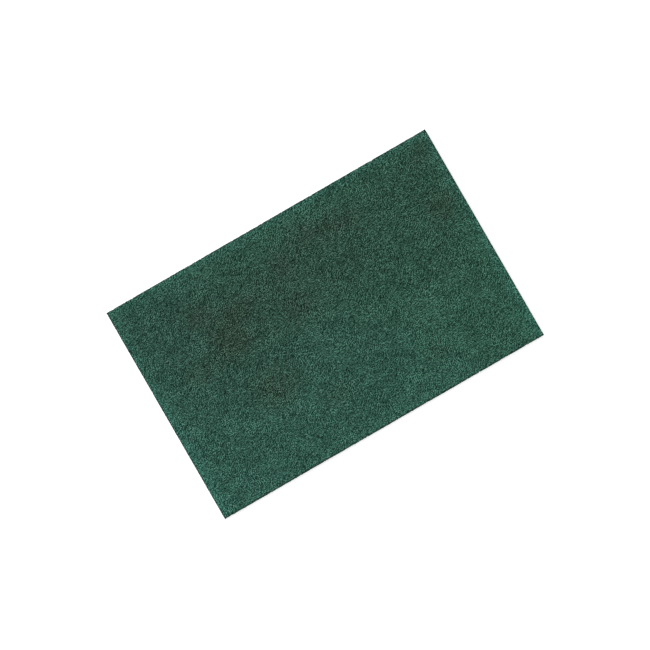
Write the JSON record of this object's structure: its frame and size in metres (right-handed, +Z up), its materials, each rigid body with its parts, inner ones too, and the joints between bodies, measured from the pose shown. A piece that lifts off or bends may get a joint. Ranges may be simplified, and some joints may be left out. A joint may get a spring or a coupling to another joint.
{
  "type": "nylon scouring pad",
  "caption": "Flat rectangular scouring pad of green non-woven nylon web with square-cut edges, for hand scrubbing.",
  "frame": {"origin": "middle of the underside, in the plane of the fibre tips that the pad rests on", "axes": "+Z up through the thickness, +X along the long side, +Y along the short side"},
  "size_m": [0.23, 0.149, 0.006],
  "materials": {
    "nylon_web": "matt, open tangle of resin-bonded crimped fibres, bottle green with browner patches"
  },
  "bodies": {
    "root": {"scouring_pad": "nylon_web"}
  },
  "joints": []
}
